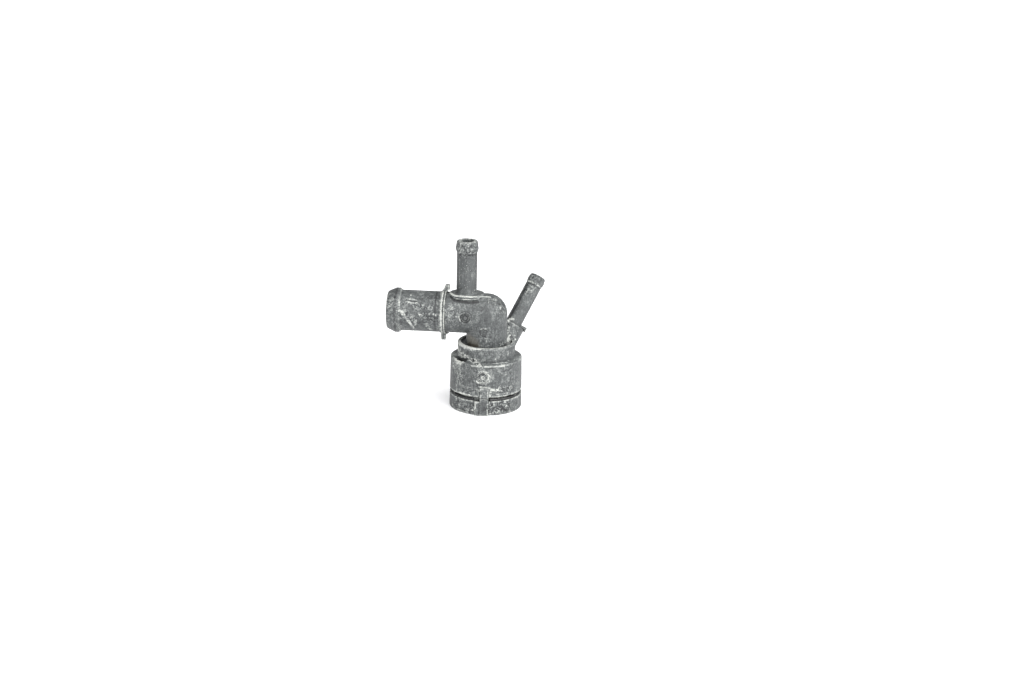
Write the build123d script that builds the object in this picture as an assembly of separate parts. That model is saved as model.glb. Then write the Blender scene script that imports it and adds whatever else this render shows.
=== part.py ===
# Coolant flange: a moulded elbow that pushes over a steel or aluminium coolant pipe and is held
# there by a wire clip, with three spigots for hoses. Millimetres. The origin is the centre of the
# open mouth of the socket, +Z runs up the socket's bore, the large spigot points to -X and the
# side with the stop pad faces -Y.
from build123d import *
from math import asin, cos, radians, sin, sqrt, tan
import os

# The pipe that the socket takes: a plain nose with a raised collar behind it
pipe_radius = 21.5
pipe_wall = 1.8
pipe_collar_height = 2.8
pipe_collar_clearance = 0.5
guide_clearance = 0.2
nose_clearance = 0.35

# Socket walls and the heights that stack up from the mouth
mouth_wall = 3.8
shoulder_edge_wall = 3.3
mouth_lead_in = 0.8
mouth_edge_round = 0.9
mouth_to_clip = 11.5
clip_to_seal = 9.1
nose_land = 4.6
shoulder_wall = 3.0
shoulder_rise = 1.8
shoulder_edge_round = 0.8

# Neck above the shoulder, with a moat round the elbow that leaves a thin rim
neck_wall = 3.0
neck_above_shoulder = 12.0
neck_rim_width = 2.4
neck_rim_bevel = 0.5
moat_depth = 2.0
moat_floor_wall = 2.6
funnel_height = 2.4

# Wire clip and the groove that it lies in
wire_diameter = 2.2
clip_play = 1.2
clip_groove_floor_gap = 0.1
clip_resting_gap = 0.05
clip_bend_radius = 4.0
clip_tip_gap = 0.5
clip_leg_gap = 0.1
groove_floor_wall = 1.3
window_end_gap = 3.5

# Seal ring in its undercut
seal_height = 9.0
seal_undercut = 0.6
seal_clearance = 0.1
seal_squeeze = 0.3
seal_web = 2.4
seal_lip_width = 2.8
seal_lip_nose = 1.0

# Stop pad on the front, with a fine line across it and a low step on its left
pad_width = 6.6
pad_offset = 1.4
pad_height = 23.0
pad_proud = 1.5
pad_line_width = 0.9
pad_line_depth = 0.5
pad_step_width = 4.2
pad_step_proud = 1.0

# Shallow panel sunk into the front of the skirt, as wide as the stretch between the clip's windows
panel_foot = 2.0
panel_height = 22.0
panel_depth = 0.35

# Round marks: one on the socket, one on the main tube
socket_mark_radius = 4.7
socket_mark_height = 30.8
socket_mark_depth = 0.45
tube_mark_radius = 3.9
tube_mark_lip = 1.0
tube_mark_lip_proud = 0.3
tube_mark_depth = 0.9
tube_mark_x = -15.7

# Drain notch in the shoulder
notch_angle = 222.0
notch_length = 8.0
notch_width = 2.6
notch_depth = 3.0

# Elbow and main hose spigot
main_radius = 16.0
main_wall = 3.0
elbow_above_neck = 22.3
main_reach = 78.1
main_tip_radius = 15.0
main_bead_radius = 17.6
main_lead_in = 6.4
main_bead_land = 2.9
main_bead_back = 2.0

# Collar on the main tube, its thin flange and its two lugs
collar_x = -36.3
collar_width = 4.3
collar_radius = 16.6
flange_width = 0.9
flange_radius = 17.3
lug_thickness = 5.0
top_lug_height = 6.0
bottom_lug_height = 6.3

# Block under the top spigot
block_length = 29.0
block_width = 22.0
block_above_tube = 0.4
block_end_overhang = 2.0
block_side_overhang = 0.8
block_plate = 3.0
block_edge_bevel = 1.2

# Top hose spigot
top_radius = 8.0
top_wall = 2.4
top_x = -16.4
top_reach = 58.2
top_tip_radius = 8.3
top_bead_radius = 8.95
top_lead_in = 5.6
top_bead_land = 0.8
top_bead_back = 3.1
top_root_round = 1.2

# Side hose spigot, which leans out over the neck from a thick root
side_radius = 6.4
side_wall = 2.1
side_azimuth = 45.0
side_lean = 36.26
side_axis_height = 24.73
side_reach = 89.3
side_tip_radius = 6.3
side_bead_radius = 6.95
side_lead_in = 3.6
side_bead_land = 1.6
side_bead_back = 2.8
side_root_radius = 10.0
side_root_reach = 45.3
side_root_start = 26.0
side_root_bevel = 0.8
peg_radius = 1.9
peg_reach = 11.5
peg_turn = -43.0
web_above_neck = 14.4
web_thickness = 6.0

# Bare raised patch on the outside of the elbow: two bars, one above the other
land_length = 6.4
land_bar_width = 2.4
land_bar_gap = 0.8
land_proud = 0.4
land_x = 4.4
land_tilt = 56.0

# What follows from the sizes above
socket_bore = pipe_radius + pipe_collar_height + pipe_collar_clearance
guide_bore = pipe_radius + pipe_collar_height + guide_clearance
mouth_radius = socket_bore + mouth_wall
shoulder_radius = socket_bore + shoulder_edge_wall
nose_bore = pipe_radius + nose_clearance
neck_bore = pipe_radius - pipe_wall
neck_radius = neck_bore + neck_wall
groove_height = wire_diameter + clip_play
groove_top = mouth_to_clip + groove_height
groove_floor = socket_bore + groove_floor_wall
seal_floor = groove_top + clip_to_seal
seal_top = seal_floor + seal_height
seal_chamber = socket_bore + seal_undercut
nose_stop = seal_top + nose_land
shoulder_height = nose_stop + shoulder_wall
neck_top = shoulder_height + neck_above_shoulder
moat_floor = neck_top - moat_depth
funnel_top = moat_floor - moat_floor_wall
axis_height = neck_top + elbow_above_neck
main_bore = main_radius - main_wall
block_top = axis_height + main_radius + block_above_tube
wire_radius = wire_diameter / 2
wire_ring = groove_floor + clip_groove_floor_gap + wire_radius
wire_height = mouth_to_clip + clip_resting_gap + wire_radius
leg_x = pipe_radius + wire_radius + clip_leg_gap
window_half = sqrt(wire_ring ** 2 - leg_x ** 2) + window_end_gap
side_axis = Vector(sin(radians(side_lean)) * cos(radians(side_azimuth)),
                   sin(radians(side_lean)) * sin(radians(side_azimuth)), cos(radians(side_lean)))


def turned(points):
    # A solid of revolution about Z from a closed outline of (radius, height) points.
    outline = Plane.XZ * make_face(Polyline(*points, close=True))
    return revolve(outline, Axis.Z)


def corner_ball(radius):
    # The ball at the elbow's corner. Its poles and seam lie inside the two tubes that it joins.
    return Pos(0, 0, axis_height) * Rot(0, -45, 0) * Rot(0, 0, 180) * Sphere(radius)


def skirt_radius(height):
    # The outer radius of the socket at a height: the wall has a little draft.
    return mouth_radius + (shoulder_radius - mouth_radius) * height / shoulder_height


def spigot(length, radius, tip, bead, lead_in, land, back, tip_round=0.6):
    # The outside of a hose spigot along Z: plain tube, back slope, bead land, lead-in and tip.
    return turned([(0, 0), (radius, 0), (radius, length - lead_in - land - back),
                   (bead, length - lead_in - land), (bead, length - lead_in),
                   (tip, length - tip_round), (tip - tip_round, length), (0, length)])


def socket_shell():
    # Skirt, sloping shoulder and neck, solid inside. The moat leaves a rim round the elbow.
    shell = turned([(0, 0), (mouth_radius, 0), (shoulder_radius, shoulder_height),
                    (neck_radius, shoulder_height + shoulder_rise), (neck_radius, neck_top), (0, neck_top)])
    mouth_edge = shell.edges().filter_by(GeomType.CIRCLE).sort_by(Axis.Z)[0]
    shell = fillet(mouth_edge, mouth_edge_round)
    shoulder_edge = shell.edges().filter_by(GeomType.CIRCLE).filter_by_position(
        Axis.Z, shoulder_height - 0.01, shoulder_height + 0.01)
    shell = fillet(shoulder_edge, shoulder_edge_round)
    rim_edge = shell.edges().filter_by(GeomType.CIRCLE).sort_by(Axis.Z)[-1]
    shell = chamfer(rim_edge, neck_rim_bevel)
    moat = Pos(0, 0, moat_floor) * Cylinder(neck_radius - neck_rim_width, moat_depth,
                                            align=(Align.CENTER, Align.CENTER, Align.MIN))
    return shell - moat


def elbow():
    # Upright tube, ball corner and the level tube of the main spigot, solid inside.
    upright = Pos(0, 0, nose_stop) * Cylinder(main_radius, axis_height - nose_stop,
                                              align=(Align.CENTER, Align.CENTER, Align.MIN))
    level = Plane(origin=(0, 0, axis_height), z_dir=(-1, 0, 0)) * spigot(
        main_reach, main_radius, main_tip_radius, main_bead_radius, main_lead_in, main_bead_land,
        main_bead_back)
    return upright + corner_ball(main_radius) + level


def collar():
    # A ring with a thin flange beside it, and a lug above and below that lean over the flange.
    ring = Plane(origin=(collar_x, 0, axis_height), z_dir=(1, 0, 0)) * (
        Cylinder(collar_radius, collar_width, align=(Align.CENTER, Align.CENTER, Align.MIN))
        + Pos(0, 0, collar_width - flange_width) * Cylinder(
            flange_radius, flange_width, align=(Align.CENTER, Align.CENTER, Align.MIN)))
    right = collar_x + collar_width
    foot = main_radius - 0.6
    top = main_radius + top_lug_height
    upper = [(collar_x + 0.5, foot), (collar_x + 3.2, top), (right + 2.4, top), (right + 2.5, top - 3.6),
             (right + 0.4, top - 4.6), (right, foot)]
    low = main_radius + bottom_lug_height
    lower = [(collar_x + 0.5, -foot), (collar_x + 0.5, -low), (right - 0.2, -low), (right, -low + 4.4),
             (right + 2.2, -low + 5.3), (right + 1.8, -foot)]
    lugs = [Plane(origin=(0, lug_thickness / 2, axis_height), x_dir=(1, 0, 0), z_dir=(0, -1, 0))
            * extrude(make_face(Polyline(*points, close=True)), lug_thickness) for points in (upper, lower)]
    return ring + lugs[0] + lugs[1]


def block():
    # The flat-topped block with round ends that carries the top spigot. Its top plate
    # overhangs the foot all round.
    height = block_top - axis_height
    foot = extrude(SlotOverall(block_length - 2 * block_end_overhang, block_width - 2 * block_side_overhang),
                   height - block_plate / 2)
    plate = Pos(0, 0, height - block_plate) * extrude(SlotOverall(block_length, block_width), block_plate)
    plate = chamfer(plate.edges().group_by(Axis.Z)[-1], block_edge_bevel)
    return Pos(top_x + 0.4, 0, axis_height) * (foot + plate)


def top_spigot():
    base = Pos(top_x, 0, axis_height) * spigot(top_reach, top_radius, top_tip_radius, top_bead_radius,
                                               top_lead_in, top_bead_land, top_bead_back, 0.8)
    root = Pos(top_x, 0, block_top) * Cone(top_radius + top_root_round, top_radius, top_root_round,
                                           align=(Align.CENTER, Align.CENTER, Align.MIN))
    return base + root


def side_spigot():
    # The thick root starts inside the neck. The tube, its bead and a small peg follow, and a web
    # closes the crotch between the root and the elbow.
    azimuth, lean = radians(side_azimuth), radians(side_lean)
    frame = Plane(origin=(0, 0, side_axis_height), z_dir=side_axis,
                  x_dir=(cos(lean) * cos(azimuth), cos(lean) * sin(azimuth), -sin(lean)))
    tube = Pos(0, 0, side_root_start) * spigot(side_reach - side_root_start, side_radius, side_tip_radius,
                                               side_bead_radius, side_lead_in, side_bead_land, side_bead_back)
    root = Pos(0, 0, side_root_start) * Cylinder(side_root_radius, side_root_reach - side_root_start,
                                                 align=(Align.CENTER, Align.CENTER, Align.MIN))
    root = chamfer(root.edges().group_by(Axis.Z)[-1], side_root_bevel)
    peg = Pos(0, 0, side_root_reach + peg_radius / 2) * Rot(0, 0, peg_turn) * Rot(0, 90, 0) * Cylinder(
        peg_radius, peg_reach, align=(Align.CENTER, Align.CENTER, Align.MIN))
    low, high = neck_top - 1, neck_top + web_above_neck
    inside = main_radius - 1
    outline = Polyline((inside, low), (inside, high), ((high - side_axis_height) * tan(lean), high),
                       ((low - side_axis_height) * tan(lean), low), close=True)
    web = Rot(0, 0, side_azimuth) * extrude(Plane.XZ * make_face(outline), web_thickness / 2, both=True)
    return frame * (tube + root + peg) + web


def side_bore():
    # The way through the side spigot. It starts inside the socket, under the neck's roof.
    start = side_root_start - 2
    frame = Plane(origin=(0, 0, side_axis_height), z_dir=side_axis)
    return frame * Pos(0, 0, start) * Cylinder(side_radius - side_wall, side_reach - start + 1,
                                               align=(Align.CENTER, Align.CENTER, Align.MIN))


def stop_pad():
    # A flat pad down the front of the skirt, and the low step beside it under the groove. A line
    # runs across the pad's face level with the top of the groove.
    face_y = mouth_radius + pad_proud
    step_y = mouth_radius + pad_step_proud
    inside = groove_floor - groove_floor_wall / 2
    left = pad_offset - pad_width / 2
    pad = Pos(left, -face_y, 0) * Box(pad_width, face_y - inside, pad_height, align=Align.MIN)
    step = Pos(left - pad_step_width, -step_y, 0) * Box(pad_step_width, step_y - inside, mouth_to_clip,
                                                        align=Align.MIN)
    line = Pos(left, -face_y, groove_top - pad_line_width) * Box(pad_width, pad_line_depth, pad_line_width,
                                                                 align=Align.MIN)
    return pad + step - line


def front_panel():
    # What is cut away for the panel: a thin part of a ring, in front of the windows' front ends.
    edge = mouth_radius + 5
    ring = turned([(skirt_radius(panel_foot) - panel_depth, panel_foot), (edge, panel_foot),
                   (edge, panel_height), (skirt_radius(panel_height) - panel_depth, panel_height)])
    return ring & Pos(0, -window_half, 0) * Box(2 * edge, edge, panel_height + 1,
                                                align=(Align.CENTER, Align.MAX, Align.MIN))


def passages():
    # Everything that is open inside: the stepped socket bore and the three ways out of it. The
    # bore is wide below the clip, so that the pipe's collar finds its way, and closer above it.
    steps = turned([(0, -1), (socket_bore + mouth_lead_in + 1, -1), (socket_bore, mouth_lead_in),
                    (socket_bore, mouth_to_clip), (guide_bore, mouth_to_clip),
                    (guide_bore, seal_floor), (seal_chamber, seal_floor), (seal_chamber, seal_top),
                    (nose_bore, seal_top), (nose_bore, nose_stop), (neck_bore, nose_stop),
                    (neck_bore, funnel_top - funnel_height), (main_bore, funnel_top), (0, funnel_top)])
    upright = Pos(0, 0, nose_stop) * Cylinder(main_bore, axis_height - nose_stop,
                                              align=(Align.CENTER, Align.CENTER, Align.MIN))
    level = Plane(origin=(0, 0, axis_height), z_dir=(-1, 0, 0)) * Cylinder(
        main_bore, main_reach + 1, align=(Align.CENTER, Align.CENTER, Align.MIN))
    riser = Pos(top_x, 0, axis_height) * Cylinder(top_radius - top_wall, top_reach + 1,
                                                  align=(Align.CENTER, Align.CENTER, Align.MIN))
    return steps + upright + corner_ball(main_bore) + level + riser + side_bore()


def clip_groove():
    # A groove all round the skirt, open to the bore through a long window in each flank.
    ring = Pos(0, 0, mouth_to_clip) * (
        Cylinder(mouth_radius + 5, groove_height, align=(Align.CENTER, Align.CENTER, Align.MIN))
        - Cylinder(groove_floor, groove_height, align=(Align.CENTER, Align.CENTER, Align.MIN)))
    windows = Pos(0, 0, mouth_to_clip) * Box(2 * mouth_radius + 4, 2 * window_half, groove_height,
                                             align=(Align.CENTER, Align.CENTER, Align.MIN))
    return ring + windows


def round_marks():
    # A shallow round recess in the skirt, and a ringed one in the main tube.
    skirt_floor = skirt_radius(socket_mark_height) - socket_mark_depth
    tube_floor = main_radius - tube_mark_depth
    on_skirt = Plane(origin=(0, -skirt_floor, socket_mark_height), z_dir=(0, -1, 0)) * Cylinder(
        socket_mark_radius, 3, align=(Align.CENTER, Align.CENTER, Align.MIN))
    on_tube = Plane(origin=(tube_mark_x, -tube_floor, axis_height), z_dir=(0, -1, 0)) * Cylinder(
        tube_mark_radius, 4, align=(Align.CENTER, Align.CENTER, Align.MIN))
    return on_skirt + on_tube


def tube_mark_ring():
    return Plane(origin=(tube_mark_x, -main_bore - 1, axis_height), z_dir=(0, -1, 0)) * Cylinder(
        tube_mark_radius + tube_mark_lip, main_wall - 1 + tube_mark_lip_proud,
        align=(Align.CENTER, Align.CENTER, Align.MIN))


def elbow_land():
    # Two bars that follow the elbow's ball high on its outside, each as proud as the other.
    turn, tilt = asin(land_x / main_radius), radians(land_tilt)
    frame = Plane(origin=(0, 0, axis_height),
                  x_dir=(cos(turn), sin(turn) * cos(tilt), -sin(turn) * sin(tilt)),
                  z_dir=(sin(turn), -cos(turn) * cos(tilt), cos(turn) * sin(tilt)))
    pitch = land_bar_width + land_bar_gap
    bars = [Pos(0, side * pitch / 2, main_radius) * Box(land_length, land_bar_width, 2 * main_wall)
            for side in (-1, 1)]
    ball = Sphere(main_radius + land_proud)
    return frame * (ball & bars[0]) + frame * (ball & bars[1])


def shoulder_notch():
    middle = (shoulder_radius + neck_radius) / 2
    return Rot(0, 0, notch_angle) * Pos(middle, 0, shoulder_height + shoulder_rise / 2 - notch_depth) * Box(
        notch_width, notch_length, notch_depth + 3, align=(Align.CENTER, Align.CENTER, Align.MIN))


def flange_body():
    body = socket_shell() - clip_groove() - shoulder_notch() - front_panel()
    body = body + stop_pad() + elbow() + collar() + block() + top_spigot() + side_spigot()
    body = body + tube_mark_ring() + elbow_land()
    return body - passages() - round_marks()


def clip_path():
    # An open ring of wire: free ends beside the stop pad, straight legs across the windows, and
    # the bridge round the back. Each leg meets the ring at a round bend.
    bend = clip_bend_radius
    bend_x = leg_x - bend
    bend_y = sqrt((wire_ring - bend) ** 2 - bend_x ** 2)
    reach = wire_ring / (wire_ring - bend)
    ring_x, ring_y = bend_x * reach, bend_y * reach
    tips = {-1: pad_offset - pad_width / 2 - pad_step_width - clip_tip_gap,
            1: pad_offset + pad_width / 2 + clip_tip_gap}

    def arc(start, end, centre, radius):
        # The short arc between two points that lie on the circle round the centre.
        middle = (Vector(*start) + Vector(*end)) / 2 - centre
        return ThreePointArc(start, centre + middle.normalized() * radius, end)

    pieces = [ThreePointArc((-ring_x, ring_y), (0, wire_ring), (ring_x, ring_y))]
    for side, tip_x in tips.items():
        tip = (tip_x, -sqrt(wire_ring ** 2 - tip_x ** 2))
        pieces.append(arc(tip, (side * ring_x, -ring_y), Vector(0, 0), wire_ring))
        for end in (-1, 1):
            pieces.append(arc((side * ring_x, end * ring_y), (side * leg_x, end * bend_y),
                              Vector(side * bend_x, end * bend_y), bend))
        pieces.append(Line((side * leg_x, -bend_y), (side * leg_x, bend_y)))
    return Pos(0, 0, wire_height) * Wire([edge for piece in pieces for edge in piece.edges()])


def retaining_clip():
    path = clip_path()
    section = Plane(origin=path.position_at(0), z_dir=path.tangent_at(0)) * Circle(wire_radius)
    return sweep(section, path)


def seal_ring():
    # A flat-backed ring that fills its undercut, with two tapered lips towards the pipe.
    outer = seal_chamber - seal_clearance
    inner = outer - seal_web
    nose = pipe_radius - seal_squeeze
    height = seal_height - seal_clearance
    outline = [(inner, 0), (outer, 0), (outer, height), (inner, height)]
    for middle in (0.73 * height, 0.27 * height):
        outline += [(inner, middle + seal_lip_width / 2), (nose, middle + seal_lip_nose / 2),
                    (nose, middle - seal_lip_nose / 2), (inner, middle - seal_lip_width / 2)]
    return Pos(0, 0, seal_floor) * turned(outline)


os.makedirs("parts", exist_ok=True)
pieces = {"flange_body": flange_body(), "retaining_clip": retaining_clip(), "seal_ring": seal_ring()}
for name, solid in pieces.items():
    solids = solid.solids()
    export_step(solids[0] if len(solids) == 1 else Compound(children=list(solids)), f"parts/{name}.step")
    print(name, len(solids), "solids", round(sum(s.volume for s in solids)), "mm3", solid.bounding_box().size)
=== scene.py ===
import bmesh
import bpy
import math
from mathutils import Matrix, Vector


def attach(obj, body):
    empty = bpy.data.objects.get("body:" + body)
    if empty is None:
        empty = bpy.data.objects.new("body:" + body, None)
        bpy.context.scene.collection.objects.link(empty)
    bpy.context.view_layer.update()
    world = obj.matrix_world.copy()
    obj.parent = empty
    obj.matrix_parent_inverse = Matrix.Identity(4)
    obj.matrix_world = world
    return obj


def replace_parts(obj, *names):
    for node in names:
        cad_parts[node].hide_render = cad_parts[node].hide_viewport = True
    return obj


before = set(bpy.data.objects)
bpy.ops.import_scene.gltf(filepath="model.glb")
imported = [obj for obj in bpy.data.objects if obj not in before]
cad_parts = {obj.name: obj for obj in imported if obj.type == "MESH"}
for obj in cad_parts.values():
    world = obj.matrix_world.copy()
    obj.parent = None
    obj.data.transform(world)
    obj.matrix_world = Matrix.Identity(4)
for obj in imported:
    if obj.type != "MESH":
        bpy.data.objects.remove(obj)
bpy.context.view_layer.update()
scene = bpy.context.scene
mm = 0.001


def linear(hexColour):
    # sRGB hex to the linear colour that shaders take
    channels = [int(hexColour[i:i + 2], 16) / 255 for i in (1, 3, 5)]
    return tuple(c / 12.92 if c <= 0.04045 else ((c + 0.055) / 1.055) ** 2.4 for c in channels) + (1.0,)


def addNode(tree, kind, inputs=None, **settings):
    # one node with its settings; an input takes a value, a socket, or a node's first live output
    node = tree.nodes.new(kind)
    for key, value in settings.items():
        setattr(node, key, value)
    for key, value in (inputs or {}).items():
        if isinstance(value, bpy.types.Node):
            value = next(socket for socket in value.outputs if socket.enabled)
        if isinstance(value, bpy.types.NodeSocket):
            tree.links.new(value, node.inputs[key])
        else:
            node.inputs[key].default_value = value
    return node


def newMaterial(name):
    material = bpy.data.materials.new(name)
    material.use_nodes = True
    material.node_tree.nodes.clear()
    return material, material.node_tree


def finishMaterial(tree, shaderInputs):
    shader = addNode(tree, "ShaderNodeBsdfPrincipled", shaderInputs)
    addNode(tree, "ShaderNodeOutputMaterial", {"Surface": shader})


def newTree(name, sockets):
    # a Geometry Nodes tree with its named inputs, and their sockets ready to link
    tree = bpy.data.node_groups.new(name, "GeometryNodeTree")
    tree.interface.new_socket("Geometry", in_out="INPUT", socket_type="NodeSocketGeometry")
    for socketName, kind in sockets.items():
        tree.interface.new_socket(socketName, in_out="INPUT", socket_type="NodeSocket" + kind)
    tree.interface.new_socket("Geometry", in_out="OUTPUT", socket_type="NodeSocketGeometry")
    return tree, addNode(tree, "NodeGroupInput").outputs


def endTree(tree, geometry, material):
    real = addNode(tree, "GeometryNodeRealizeInstances", {"Geometry": geometry})
    painted = addNode(tree, "GeometryNodeSetMaterial", {"Geometry": real, "Material": material})
    addNode(tree, "NodeGroupOutput", {"Geometry": painted})


def runTree(thing, tree, values):
    # the modifier's inputs are set by each socket's identifier, before the object is evaluated
    modifier = thing.modifiers.new(tree.name, "NODES")
    modifier.node_group = tree
    for item in tree.interface.items_tree:
        if item.in_out == "INPUT" and item.name in values:
            modifier[item.identifier] = values[item.name]


def bake(thing, name, place=Matrix.Identity(4)):
    # the evaluated object as a plain mesh piece, moved to its place inside its mesh
    evaluated = thing.evaluated_get(bpy.context.evaluated_depsgraph_get())
    mesh = bpy.data.meshes.new_from_object(evaluated)
    mesh.transform(place)
    mesh.name = name
    piece = bpy.data.objects.new(name, mesh)
    scene.collection.objects.link(piece)
    bpy.data.objects.remove(thing)
    return piece


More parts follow.
